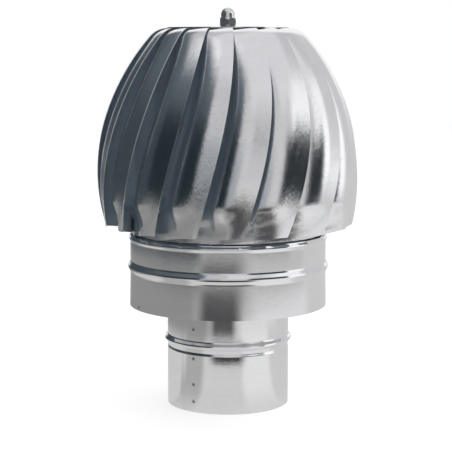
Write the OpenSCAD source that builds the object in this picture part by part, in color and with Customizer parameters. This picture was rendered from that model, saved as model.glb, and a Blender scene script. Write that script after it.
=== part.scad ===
// Wind-driven chimney cowl: a vaned rotor on a beaded collar and flue spigot.
// Z is up, the axis of the flue is Z, and z = 0 is the open lower edge of the spigot.

/* [Sheet metal] */
// Thickness of the spigot, reducer, collar and disc sheet
base_sheet = 0.8; // [0.5:0.1:1.2]
// Thickness of the vane sheet
vane_sheet = 0.6; // [0.4:0.1:0.9]
// Gap between two sheets that are spot-welded together
weld_gap = 0.1; // [0.05:0.05:0.3]

/* [Flue spigot] */
// Outside diameter of the spigot
spigot_d = 125; // [110:1:140]
// Length of the spigot, up to the reducer
spigot_len = 110; // [95:1:140]
// Height of the stop bead above the spigot's lower edge
stop_bead_z = 68.2; // [60:0.2:80]
// Height of the stop bead along the tube
stop_bead_h = 9.5; // [7:0.5:12]
// How far the stop bead stands out
stop_bead_out = 3; // [1:0.5:4]
// Height along the tube of the groove under the stop bead
stop_groove_h = 5; // [3:0.5:6]
// Depth of the groove under the stop bead
stop_groove_in = 0.7; // [0.3:0.1:1]
// Angle of the visible edge of the lap seam
lap_angle = -45.6; // [-80:0.2:-20]
// Angle over which the two sheets lie on each other
lap_span = 24; // [15:1:40]
// Angle over which the under sheet dips to pass below the upper one
lap_run = 6; // [3:1:10]
// Depth of the step at the visible edge of the lap seam
lap_step = 0.4; // [0.2:0.1:0.5]

/* [Reducer] */
// How far the reducer's neck reaches into the spigot
neck_len = 14; // [8:1:25]
// Rise of the reducer's cone
cone_rise = 26; // [20:1:40]
// Height of the reducer's flange inside the collar
flange_h = 14; // [13:1:20]

/* [Collar] */
// Outside diameter of the collar
collar_d = 201; // [190:1:215]
// Length of the open skirt under the middle of the collar's bead
skirt_len = 40; // [25:1:50]
// Height of the collar's top edge over the middle of its bead
collar_rise = 33; // [31:1:45]
// Height of the collar's bead along its wall
collar_bead_h = 12.8; // [8:0.2:13]
// How far the collar's bead stands out
collar_bead_out = 2.4; // [1:0.2:3]
// Height of the rolled top rim
rim_h = 7.4; // [5:0.2:9]
// How far the rolled rim stands out
rim_out = 1.2; // [0.6:0.2:2]
// Width of the rim's lip turned inwards
lip_w = 5; // [3:0.5:8]
// Flare of the skirt's lower edge
skirt_flare = 0.7; // [0:0.1:1.5]

/* [Bearing spider and housing] */
// Thickness of the spider plate
spider_t = 3; // [2:0.5:5]
// Depth of the spider's underside below the collar's top edge
spider_drop = 20; // [17:0.5:24]
// Width of a spider arm
arm_w = 22; // [16:1:30]
// Height of the tab at the end of a spider arm
tab_h = 12; // [8:1:14]
// Diameter of the spider's middle, under the housing
spider_hub_d = 62; // [58:1:70]
// Height of the bearing housing above the spider
housing_h = 74; // [60:1:90]
// Wall of the bearing housing
housing_wall = 4; // [3:0.5:6]
// Diameter of the housing's foot
foot_d = 56; // [54:1:58]
// Thickness of the housing's foot
foot_t = 4; // [3:0.5:6]
// Thickness of the housing's floor, the foot included
floor_t = 6; // [5:0.5:8]
// Diameter of the bolts through the housing's foot
foot_bolt_d = 5; // [4:0.5:5]
// Diameter of the circle that those bolts lie on
foot_bolt_circle = 44.4; // [44:0.2:45]

/* [Shaft and bearings] */
// Diameter of the rotor shaft
shaft_d = 10; // [8:1:12]
// Outside diameter of a ball bearing
bearing_d = 26; // [24:1:30]
// Width of a ball bearing
bearing_w = 8; // [7:0.5:9]
// Diameter of a bearing ball
ball_d = 4.8; // [4:0.1:5]
// Number of balls in a bearing
ball_count = 8; // [6:1:9]
// Thickness of a retaining ring
clip_t = 1.2; // [1:0.1:1.5]
// Running clearance of the balls in their grooves
ball_gap = 0.06; // [0.04:0.01:0.1]
// Height of the housing's edge over its retaining ring
clip_edge = 2.4; // [1.6:0.2:4]
// Radial room round the inner race and the shaft's end, in the housing's floor
floor_room = 2; // [1:0.5:3]
// Height of the room under the shaft's end
end_room = 0.6; // [0.4:0.1:1]
// How much wider a bolt hole is than its bolt
bolt_hole_gap = 0.4; // [0.2:0.1:1]
// Fit clearance between round parts that sit in each other
fit_gap = 0.03; // [0.02:0.01:0.05]
// Diameter of the rain slinger over the housing
slinger_d = 47; // [46:1:52]
// Length of the rain slinger's skirt
slinger_skirt = 12; // [8:1:20]
// Wall of the rain slinger
slinger_wall = 2; // [1.5:0.5:3]
// Height of the slinger's roof over the housing
slinger_lift = 2; // [1:0.5:4]
// Diameter of the rain slinger's boss
slinger_boss_d = 18; // [15:1:20]
// Height of the rain slinger's boss
slinger_boss_h = 5; // [3:0.5:8]
// Diameter of the shaft between its two shoulders
shoulder_d = 14; // [13:1:16]

/* [Rotor] */
// Number of vanes
vane_count = 18; // [14:1:18]
// Largest diameter of the rotor
belly_d = 266; // [256:1:280]
// Height of the largest diameter over the rotor's lower edge
belly_rise = 58.5; // [50:0.5:70]
// Radius of the rotor's outline from the lower edge to the shoulder
outline_r = 212; // [205:1:225]
// Angle at which the outline turns into the shoulder
shoulder_angle = 41.4; // [39:0.2:43]
// Radius of the shoulder
shoulder_r = 23; // [18:1:28]
// Running gap between the collar and the rotor
rotor_gap = 1.5; // [1:0.5:4]
// Height of the bottom ring
ring_h = 15; // [10:1:20]
// Diameter of the bottom ring
ring_d = 194.8; // [190:0.2:198]
// Gap between the ring and the vane ends that wrap it
wrap_gap = 0.3; // [0.25:0.05:0.5]
// Width of the bottom ring's stiffening lip
ring_lip = 7; // [4:0.5:10]
// Diameter of the top disc
disc_d = 124; // [120:1:128]

/* [Vane] */
// How far the free corner lies above the lower end that wraps the ring
corner_rise = 9; // [5:0.5:12]
// Turn of the free edge at its lower corner, from straight up
twist_low = -13.5; // [-18:0.5:-8]
// Turn of the free edge at its top, from straight up
twist_high = 4; // [0:0.5:8]
// Width of the straight margin beside the free edge
margin_w = 15; // [10:0.5:20]
// Lean of that margin, in from the outline
margin_lean = 8; // [4:0.5:12]
// Radius of the scoop behind the margin
scoop_r = 36; // [32:0.5:39]
// Angle that the lower end takes up
wrap_angle = 40; // [36:0.5:42]
// Share of the lower end that runs in to the ring before it wraps
run_in = 0.85; // [0.7:0.01:0.92]
// Height over which the scoop changes into the wrapped end
wrap_rise = 30; // [24:1:50]
// Height over which the scoop closes towards the top
close_drop = 96; // [80:1:120]
// How far a vane slips under the next one at the top disc
top_tuck = 2; // [1.6:0.1:3]
// Radius that the vane's top tab reaches in to
tab_r = 48; // [40:1:54]

/* [Top fixing] */
// Width of the shaft's nuts across the flats
nut_af = 16; // [14:1:18]
// Height of the cap nut's hexagon
cap_hex_h = 8; // [6:0.5:10]
// Depth of the cap nut's bore over its hexagon
cap_bore_over = 3.5; // [2:0.5:4]
// Diameter of the cap nut's dome
cap_dome_d = 14; // [12:0.5:15]
// Height of the whole cap nut
cap_h = 18.4; // [16:0.2:20]
// Thickness of the lock nut under the hub
lock_nut_h = 6; // [5:0.5:8]
// Diameter of the sealing washer
seal_d = 15; // [13:0.5:16]
// Thickness of the sealing washer
seal_t = 1.4; // [1:0.1:2]
// Diameter of the clamping hub's flange
hub_flange_d = 46; // [40:1:60]
// Thickness of the clamping hub's flange
hub_flange_t = 3; // [2:0.5:5]
// Diameter of the clamping hub's boss
hub_boss_d = 22; // [18:1:28]
// Height of the clamping hub's boss
hub_boss_h = 15; // [10:1:20]

/* [Hidden] */

SHEET_FN = 144;
ROUND_FN = 64;
BUMP_STEPS = 8;
LAP_STEPS = 6;
LAP_CLEAR = 1;
CUT = 1;
LAND_SHARE = 1 / 3;
BOLT_HEAD_SHARE = 0.7;
BOLT_NUT_SHARE = 0.8;
WRENCH_SHARE = 1.6;
VANE_COLS = 8;
VANE_ROWS = 13;
NORMAL_STEP = 0.004;
TWIST_POWER = 1.55;
ARM_COUNT = 4;
FOOT_BOLTS = 4;

vane_pitch = 360 / vane_count;

spigot_r = spigot_d / 2;
flange_z = spigot_len + cone_rise;
collar_bead_z = flange_z + flange_h / 2;
collar_r = collar_d / 2;
skirt_z = collar_bead_z - skirt_len;
collar_top = collar_bead_z + collar_rise;
rim_z = collar_top - rim_h / 2;

spider_z = collar_top - spider_drop;
housing_z = spider_z + spider_t;
housing_top = housing_z + housing_h;
housing_bore_r = bearing_d / 2;
housing_r = housing_bore_r + housing_wall;
lower_bearing_z = housing_z + floor_t;
upper_clip_z = housing_top - clip_edge - clip_t;
upper_bearing_z = upper_clip_z - bearing_w - fit_gap;
shaft_r = shaft_d / 2;
race_mid_r = (bearing_d / 2 + shaft_r) / 2;
inner_land_r = race_mid_r - ball_d * LAND_SHARE;
outer_land_r = race_mid_r + ball_d * LAND_SHARE;
groove_r = ball_d / 2 + ball_gap;
shaft_clip_z = lower_bearing_z - clip_t - fit_gap;
shaft_z = shaft_clip_z - clip_t;
end_recess_z = shaft_z - end_room;

slinger_z = upper_bearing_z + bearing_w;
slinger_r = slinger_d / 2;
slinger_roof_z = housing_top + slinger_lift;
slinger_top = slinger_roof_z + slinger_wall + slinger_boss_h;

rotor_z = collar_top + rotor_gap;
belly_z = rotor_z + belly_rise;
belly_r = belly_d / 2;
outline_mid_r = belly_r - outline_r;
scoop_len = margin_w + scoop_r * (90 - margin_lean) * PI / 180;
shoulder_mid = [
    outline_mid_r + (outline_r - shoulder_r) * cos(shoulder_angle),
    belly_z + (outline_r - shoulder_r) * sin(shoulder_angle)
];
tab_z = shoulder_mid[1] + shoulder_r;
corner_z = rotor_z + corner_rise;
ring_r = ring_d / 2;
wrap_r = ring_r + wrap_gap + vane_sheet / 2;

arc_start = asin((rotor_z - belly_z) / outline_r);
arc_len = outline_r * (shoulder_angle - arc_start) * PI / 180;
shoulder_len = shoulder_r * (90 - shoulder_angle) * PI / 180;
path_len = arc_len + shoulder_len + shoulder_mid[0] - tab_r;
corner_len = outline_r * (asin((corner_z - belly_z) / outline_r) - arc_start) * PI / 180;

disc_z = tab_z + vane_sheet / 2 + weld_gap;
disc_top = disc_z + base_sheet;
hub_z = disc_z - hub_flange_t - hub_boss_h;
lock_nut_z = hub_z - lock_nut_h;
cap_z = disc_top + seal_t;
cap_bore_h = cap_hex_h + cap_bore_over;

function vane_name(i) = str("vane_", i < 10 ? "0" : "", i);
VANE_NAMES = [for (i = [1 : vane_count]) vane_name(i)];

// A smooth bump of height out and length h about zc, 0 elsewhere
function bump(z, zc, h, out) =
    abs(z - zc) < h / 2 ? out * (1 + cos(360 * (z - zc) / h)) / 2 : 0;

// Radius of a tube at z, with all of its bumps [middle, length, out]
function beaded_r(r, bumps, z) = r + sum([for (b = bumps) bump(z, b[0], b[1], b[2])]);
function sum(v, i = 0) = i < len(v) ? v[i] + sum(v, i + 1) : 0;

// Heights at which a beaded wall needs a point, lowest first
function bump_heights(bumps) =
    [for (b = bumps) for (k = [0 : BUMP_STEPS]) b[0] + b[1] * (k / BUMP_STEPS - 0.5)];

function mix(a, b, t) = a + (b - a) * t;
function clamp01(t) = min(max(t, 0), 1);
function ease(t) = clamp01(t) * clamp01(t) * (3 - 2 * clamp01(t));

// Rotor outline at a length along it: [radius, height, angle of its outward normal]
function outline(s) =
    s <= arc_len
        ? let (a = arc_start + s / outline_r * 180 / PI)
            [outline_mid_r + outline_r * cos(a), belly_z + outline_r * sin(a), a]
        : s <= arc_len + shoulder_len
            ? let (a = shoulder_angle + (s - arc_len) / shoulder_r * 180 / PI)
                [shoulder_mid[0] + shoulder_r * cos(a), shoulder_mid[1] + shoulder_r * sin(a), a]
            : [shoulder_mid[0] - (s - arc_len - shoulder_len), tab_z, 90];

// Turn of a vane's free edge at height z
function twist(z) =
    let (w = clamp01((z - corner_z) / (tab_z - corner_z)))
        mix(twist_low, twist_high, 1 - pow(1 - w, TWIST_POWER));

// Scoop at the belly, a straight margin and then an arc that ends sideways: [depth, angle]
function scoop(u) =
    let (
        s = u * scoop_len,
        margin = min(s, margin_w),
        a = margin_lean + max(s - margin_w, 0) / scoop_r * 180 / PI,
        across = margin * cos(margin_lean) + scoop_r * (sin(a) - sin(margin_lean)),
        down = margin * sin(margin_lean) + scoop_r * (cos(margin_lean) - cos(a)),
        left = belly_r - down
    )
    [belly_r - norm([left, across]), atan2(across, left)];

// Point of a vane's middle surface: u runs from the free edge in, v from the bottom up
function vane_point(u, v) =
    let (
        low = corner_len * (1 - ease(u / run_in)),
        p = outline(mix(low, path_len, v)),
        wrap = 1 - ease((p[1] - rotor_z - corner_rise) / wrap_rise),
        closing = sin(90 * clamp01((tab_z - p[1]) / close_drop)),
        inset = scoop(u),
        mid_depth = inset[0] * closing + top_tuck * ease(u) * (1 - closing),
        mid_turn = mix(scoop(1)[1] * u, inset[1], closing),
        low_turn = wrap_angle * u,
        low_depth = (p[0] - wrap_r) * ease(u / run_in),
        depth = mix(mid_depth, low_depth, wrap),
        turn = twist(p[1]) - mix(mid_turn, low_turn, wrap),
        lean = max(p[2], 0) * (1 - wrap),
        r = p[0] - depth * cos(lean),
        z = p[1] - depth * sin(lean)
    )
    [r * sin(turn), -r * cos(turn), z];

// Unit normal of the middle surface, pointing outwards
function vane_normal(u, v) =
    let (
        du = vane_point(u + NORMAL_STEP, v) - vane_point(u - NORMAL_STEP, v),
        dv = vane_point(u, v + NORMAL_STEP) - vane_point(u, v - NORMAL_STEP),
        n = cross(dv, du)
    )
    n / norm(n);

function vane_side(side) = [
    for (i = [0 : VANE_ROWS]) for (j = [0 : VANE_COLS])
        let (
            u = mix(NORMAL_STEP, 1 - NORMAL_STEP, j / VANE_COLS),
            v = mix(NORMAL_STEP, 1 - NORMAL_STEP, i / VANE_ROWS)
        )
        vane_point(u, v) + side * vane_sheet / 2 * vane_normal(u, v)
];

module tube_wall(z_low, z_high, r, t, bumps, flare = 0) {
    heights = concat([z_low], bump_heights(bumps), [z_high]);
    outer = [for (z = heights) [beaded_r(r, bumps, z) + (z == z_low ? flare : 0), z]];
    inner = [for (i = [len(outer) - 1 : -1 : 0]) outer[i] - [t, 0]];
    rotate_extrude($fn = SHEET_FN) polygon(concat(outer, inner));
}

module ring(z, h, r_out, r_in, fn = ROUND_FN) {
    translate([0, 0, z]) difference() {
        cylinder(h = h, r = r_out, $fn = fn);
        translate([0, 0, -CUT]) cylinder(h = h + 2 * CUT, r = r_in, $fn = fn);
    }
}

module hexagon(z, h, af) {
    translate([0, 0, z]) rotate(90) cylinder(h = h, d = af / cos(30), $fn = 6);
}

module around(count, r, start = 0) {
    for (i = [0 : count - 1])
        rotate(start + i * 360 / count) translate([r, 0, 0]) children();
}

function polar(r, a) = [r * cos(a), r * sin(a)];

// How deep the under sheet lies at share k of its dip
function lap_dip(k) = lap_step * ease(k / LAP_STEPS);

// Ground outside the under sheet where it dips, up to the upper sheet's edge
module lap_dent(z_low, z_high) {
    start = lap_angle - 90 - lap_run;
    floor = [for (k = [0 : LAP_STEPS]) polar(spigot_r - lap_dip(k), start + lap_run * k / LAP_STEPS)];
    sky = [for (k = [LAP_STEPS : -1 : 0]) polar(spigot_r + CUT, start + lap_run * k / LAP_STEPS)];
    translate([0, 0, z_low]) linear_extrude(z_high - z_low) polygon(concat(floor, sky));
}

// The under sheet's inner face, past its dip and on below the upper sheet
module lap_tongue(z_low, z_high) {
    start = lap_angle - 90 - lap_run;
    wall = spigot_r - base_sheet;
    dip = [for (k = [0 : LAP_STEPS]) polar(wall - lap_dip(k), start + lap_run * k / LAP_STEPS)];
    level = [for (k = [1 : LAP_STEPS])
        polar(wall - lap_step, start + lap_run + lap_span * k / LAP_STEPS)];
    seat = [for (k = [LAP_STEPS : -1 : -LAP_STEPS])
        let (turn = k > 0 ? lap_run + lap_span * k / LAP_STEPS : lap_run * (1 + k / LAP_STEPS))
            polar(wall + base_sheet / 4, start + turn)];
    translate([0, 0, z_low]) linear_extrude(z_high - z_low) polygon(concat(dip, level, seat));
}

module flue_spigot() {
    groove_z = stop_bead_z - (stop_bead_h + stop_groove_h) / 2;
    bumps = [[groove_z, stop_groove_h, -stop_groove_in], [stop_bead_z, stop_bead_h, stop_bead_out]];
    groove_low = groove_z - stop_groove_h / 2;
    bead_top = stop_bead_z + stop_bead_h / 2;
    color("gainsboro") {
        difference() {
            tube_wall(0, spigot_len, spigot_r, base_sheet, bumps);
            lap_dent(-CUT, groove_low - LAP_CLEAR);
            lap_dent(bead_top + LAP_CLEAR, spigot_len + CUT);
        }
        lap_tongue(LAP_CLEAR, groove_low - LAP_CLEAR);
        lap_tongue(bead_top + LAP_CLEAR, spigot_len - neck_len - LAP_CLEAR);
    }
}

module reducer() {
    neck_r = spigot_r - base_sheet - weld_gap;
    wide_r = collar_r - base_sheet - weld_gap;
    bead_out = collar_bead_out;
    heights = bump_heights([[collar_bead_z, collar_bead_h, bead_out]]);
    outer = concat(
        [[neck_r, spigot_len - neck_len], [neck_r, spigot_len], [wide_r, flange_z]],
        [for (z = heights) [wide_r + bump(z, collar_bead_z, collar_bead_h, bead_out), z]],
        [[wide_r, flange_z + flange_h]]
    );
    inner = [for (i = [len(outer) - 1 : -1 : 0]) outer[i] - [base_sheet, i < 3 ? -base_sheet / 2 : 0]];
    color("silver") rotate_extrude($fn = SHEET_FN) polygon(concat(outer, inner));
}

module collar() {
    bumps = [[collar_bead_z, collar_bead_h, collar_bead_out], [rim_z, rim_h, rim_out]];
    color("gainsboro") {
        tube_wall(skirt_z, collar_top, collar_r, base_sheet, bumps, skirt_flare);
        ring(collar_top - base_sheet, base_sheet, collar_r, collar_r - lip_w, SHEET_FN);
    }
}

module bearing_spider() {
    reach = collar_r - base_sheet - weld_gap;
    color("darkgray") difference() {
        union() {
            translate([0, 0, spider_z]) cylinder(h = spider_t, d = spider_hub_d, $fn = ROUND_FN);
            intersection() {
                translate([0, 0, spider_z]) cylinder(h = spider_t + tab_h, r = reach, $fn = SHEET_FN);
                around(ARM_COUNT, 0) translate([0, -arm_w / 2, spider_z])
                    cube([reach, arm_w, spider_t]);
            }
            intersection() {
                ring(spider_z, tab_h, reach, reach - spider_t, SHEET_FN);
                around(ARM_COUNT, 0) translate([0, -arm_w / 2, spider_z]) cube([reach, arm_w, tab_h]);
            }
        }
        around(FOOT_BOLTS, foot_bolt_circle / 2)
            translate([0, 0, spider_z - CUT])
                cylinder(h = spider_t + 2 * CUT, d = foot_bolt_d + bolt_hole_gap, $fn = ROUND_FN);
    }
}

module bearing_housing() {
    color("slategray") difference() {
        union() {
            translate([0, 0, housing_z]) cylinder(h = foot_t, d = foot_d, $fn = ROUND_FN);
            translate([0, 0, housing_z]) cylinder(h = housing_h, r = housing_r, $fn = ROUND_FN);
        }
        translate([0, 0, lower_bearing_z]) cylinder(h = housing_h, r = housing_bore_r, $fn = ROUND_FN);
        translate([0, 0, end_recess_z]) cylinder(h = housing_h, r = inner_land_r + floor_room, $fn = ROUND_FN);
        ring(upper_clip_z - fit_gap, clip_t + 2 * fit_gap, housing_bore_r + clip_t, shaft_r);
        around(FOOT_BOLTS, foot_bolt_circle / 2)
            translate([0, 0, housing_z - CUT])
                cylinder(h = foot_t + 2 * CUT, d = foot_bolt_d + bolt_hole_gap, $fn = ROUND_FN);
    }
}

// Bolts of the housing's foot, heads up, on the same circle as its holes
module foot_bolts() {
    head_z = housing_z + foot_t;
    shank = foot_t + spider_t + foot_bolt_d;
    color("silver") around(FOOT_BOLTS, foot_bolt_circle / 2) {
        translate([0, 0, head_z - shank]) cylinder(h = shank, d = foot_bolt_d, $fn = ROUND_FN);
        hexagon(head_z, foot_bolt_d * BOLT_HEAD_SHARE, foot_bolt_d * WRENCH_SHARE);
    }
}

module foot_nuts() {
    nut_h = foot_bolt_d * BOLT_NUT_SHARE;
    color("silver") around(FOOT_BOLTS, foot_bolt_circle / 2) difference() {
        hexagon(spider_z - nut_h, nut_h, foot_bolt_d * WRENCH_SHARE);
        translate([0, 0, spider_z - nut_h - CUT])
            cylinder(h = nut_h + 2 * CUT, d = foot_bolt_d + 2 * fit_gap, $fn = ROUND_FN);
    }
}

// Torus that the balls run in, taken out of both races
module ball_groove(z) {
    translate([0, 0, z + bearing_w / 2]) rotate_extrude($fn = ROUND_FN)
        translate([race_mid_r, 0]) circle(r = groove_r, $fn = ROUND_FN);
}

module outer_race(z) {
    color("lightsteelblue") difference() {
        ring(z, bearing_w, bearing_d / 2 - fit_gap, outer_land_r);
        ball_groove(z);
    }
}

module inner_race(z) {
    color("lightsteelblue") difference() {
        ring(z, bearing_w, inner_land_r, shaft_r + fit_gap);
        ball_groove(z);
    }
}

module balls(z) {
    color("white") around(ball_count, race_mid_r)
        translate([0, 0, z + bearing_w / 2]) sphere(d = ball_d, $fn = ROUND_FN);
}

module outer_spacer() {
    low = lower_bearing_z + bearing_w;
    color("gray") ring(low, upper_bearing_z - low, bearing_d / 2 - fit_gap, outer_land_r);
}

module inner_spacer() {
    low = lower_bearing_z + bearing_w;
    color("gray") ring(low, upper_bearing_z - low, inner_land_r, shaft_r + fit_gap);
}

module housing_clip() {
    color("dimgray") ring(upper_clip_z, clip_t, housing_bore_r + clip_t - fit_gap, outer_land_r);
}

module shaft_clip() {
    color("dimgray") ring(shaft_clip_z, clip_t, inner_land_r, shaft_r + fit_gap);
}

module rotor_shaft() {
    color("lightgray") {
        translate([0, 0, shaft_z]) cylinder(h = cap_z + cap_hex_h - shaft_z, r = shaft_r, $fn = ROUND_FN);
        translate([0, 0, slinger_top])
            cylinder(h = lock_nut_z - lock_nut_h - slinger_top, d = shoulder_d, $fn = ROUND_FN);
    }
}

module rain_slinger() {
    bore = shaft_r + fit_gap;
    color("darkgray") difference() {
        union() {
            translate([0, 0, slinger_z])
                cylinder(h = slinger_roof_z - slinger_z, r = inner_land_r, $fn = ROUND_FN);
            translate([0, 0, slinger_roof_z]) cylinder(h = slinger_wall, r = slinger_r, $fn = ROUND_FN);
            translate([0, 0, slinger_roof_z])
                cylinder(h = slinger_top - slinger_roof_z, d = slinger_boss_d, $fn = ROUND_FN);
            ring(slinger_roof_z - slinger_skirt, slinger_skirt, slinger_r, slinger_r - slinger_wall);
        }
        translate([0, 0, slinger_z - CUT])
            cylinder(h = slinger_top - slinger_z + 2 * CUT, r = bore, $fn = ROUND_FN);
    }
}

module bottom_ring() {
    lip_z = rotor_z + ring_h - base_sheet;
    color("lightgray") {
        ring(rotor_z, ring_h, ring_r, ring_r - base_sheet, SHEET_FN);
        ring(lip_z, base_sheet, ring_r - base_sheet / 2, ring_r - ring_lip, SHEET_FN);
    }
}

module top_disc() {
    color("gainsboro") ring(disc_z, base_sheet, disc_d / 2, shaft_r + fit_gap, SHEET_FN);
}

module clamp_hub() {
    hub_h = hub_boss_h + hub_flange_t;
    color("gray") difference() {
        union() {
            translate([0, 0, hub_z]) cylinder(h = hub_h, d = hub_boss_d, $fn = ROUND_FN);
            translate([0, 0, hub_z + hub_boss_h]) cylinder(h = hub_flange_t, d = hub_flange_d, $fn = ROUND_FN);
        }
        translate([0, 0, hub_z - CUT]) cylinder(h = hub_h + 2 * CUT, r = shaft_r + fit_gap, $fn = ROUND_FN);
    }
}

module lock_nut() {
    color("silver") difference() {
        hexagon(lock_nut_z, lock_nut_h, nut_af);
        translate([0, 0, lock_nut_z - CUT])
            cylinder(h = lock_nut_h + 2 * CUT, r = shaft_r + fit_gap, $fn = ROUND_FN);
    }
}

module seal_washer() {
    color("black") ring(disc_top, seal_t, seal_d / 2, shaft_r + fit_gap);
}

module cap_nut() {
    dome_r = cap_dome_d / 2;
    corner_r = nut_af / 2 / cos(30);
    color("whitesmoke") difference() {
        union() {
            intersection() {
                hexagon(cap_z, cap_hex_h, nut_af);
                translate([0, 0, cap_z])
                    cylinder(h = cap_hex_h, r1 = nut_af / 2, r2 = nut_af / 2 + cap_hex_h, $fn = ROUND_FN);
                translate([0, 0, cap_z])
                    cylinder(h = cap_hex_h, r1 = corner_r + cap_hex_h / 2, r2 = nut_af / 2, $fn = ROUND_FN);
            }
            translate([0, 0, cap_z]) cylinder(h = cap_h - dome_r, r = dome_r, $fn = ROUND_FN);
            translate([0, 0, cap_z + cap_h - dome_r]) sphere(r = dome_r, $fn = ROUND_FN);
        }
        translate([0, 0, cap_z - CUT])
            cylinder(h = cap_bore_h + CUT, r = shaft_r + fit_gap, $fn = ROUND_FN);
    }
}

// One vane: a strip of sheet that follows the outline, scooped inwards on one side
module vane(i) {
    row = VANE_COLS + 1;
    back = row * (VANE_ROWS + 1);
    skins = [for (r = [0 : VANE_ROWS - 1]) for (c = [0 : VANE_COLS - 1])
        let (a = r * row + c)
        each [
            [a, a + 1, a + row + 1], [a, a + row + 1, a + row],
            [back + a, back + a + row + 1, back + a + 1], [back + a, back + a + row, back + a + row + 1]
        ]];
    ends = [for (c = [0 : VANE_COLS - 1]) for (top = [0, 1])
        let (a = c + top * VANE_ROWS * row, p = a + (1 - top), q = a + top)
        each [[p, q, back + q], [p, back + q, back + p]]];
    sides = [for (r = [0 : VANE_ROWS - 1]) for (inner = [0, 1])
        let (a = r * row + inner * VANE_COLS, p = a + inner * row, q = a + (1 - inner) * row)
        each [[p, q, back + q], [p, back + q, back + p]]];
    color(i % 2 == 0 ? "silver" : "lightgray") rotate((i - 1) * vane_pitch)
        polyhedron(points = concat(vane_side(1), vane_side(-1)), faces = concat(skins, ends, sides));
}

flue_spigot();
reducer();
collar();
bearing_spider();
bearing_housing();
foot_bolts();
foot_nuts();
outer_race(lower_bearing_z);  // lower_bearing_outer
balls(lower_bearing_z);  // lower_bearing_balls
inner_race(lower_bearing_z);  // lower_bearing_inner
outer_race(upper_bearing_z);  // upper_bearing_outer
balls(upper_bearing_z);  // upper_bearing_balls
inner_race(upper_bearing_z);  // upper_bearing_inner
outer_spacer();
inner_spacer();
housing_clip();
shaft_clip();
rotor_shaft();
rain_slinger();
bottom_ring();
top_disc();
clamp_hub();
lock_nut();
seal_washer();
cap_nut();
for (i = [1 : vane_count]) vane(i);
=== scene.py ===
"""Looks of a wind-driven chimney cowl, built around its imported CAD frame.

Lengths are metres and angles degrees, unless a name says otherwise. Z is up, the flue's axis is Z,
and the cowl is seen from -Y. An angle round the axis starts at the side seen and turns towards +X.
"""

import logging
import math
from dataclasses import dataclass, field
from enum import Enum
from typing import Dict, Optional, Tuple, Union

import bpy
import numpy as np
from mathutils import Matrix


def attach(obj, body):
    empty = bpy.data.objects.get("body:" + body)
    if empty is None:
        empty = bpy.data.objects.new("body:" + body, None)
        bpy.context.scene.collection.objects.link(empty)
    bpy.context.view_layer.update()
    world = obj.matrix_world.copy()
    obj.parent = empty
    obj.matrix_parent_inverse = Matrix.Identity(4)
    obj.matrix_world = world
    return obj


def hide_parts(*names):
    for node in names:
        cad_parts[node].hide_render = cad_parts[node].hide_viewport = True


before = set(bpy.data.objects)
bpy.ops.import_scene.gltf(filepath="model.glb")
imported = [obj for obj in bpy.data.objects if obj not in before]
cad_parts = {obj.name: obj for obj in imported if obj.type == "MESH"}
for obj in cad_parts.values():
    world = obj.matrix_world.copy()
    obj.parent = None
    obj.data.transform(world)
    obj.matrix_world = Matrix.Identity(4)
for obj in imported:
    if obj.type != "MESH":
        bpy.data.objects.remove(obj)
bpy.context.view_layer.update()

logging.basicConfig(level=logging.INFO, format="%(message)s")
LOG = logging.getLogger("cowl")

MM = 0.001
IMAGE_PX = 452
SHARP_EDGE = math.radians(50.0)
SMOOTHEST, ROUGHEST = 0.03, 0.95

Colour = Tuple[float, float, float]
Point = Tuple[float, float, float]
Link = Union[bpy.types.NodeSocket, float, int, Tuple[float, ...]]


class Body(Enum):
    """The two rigid bodies of the cowl."""

    BASE = "base"
    ROTOR = "rotor"


class Coords(Enum):
    """What a finish lays its pattern out on."""

    OBJECT = "Object"
    SHEET = "UV"


# Shader building


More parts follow.
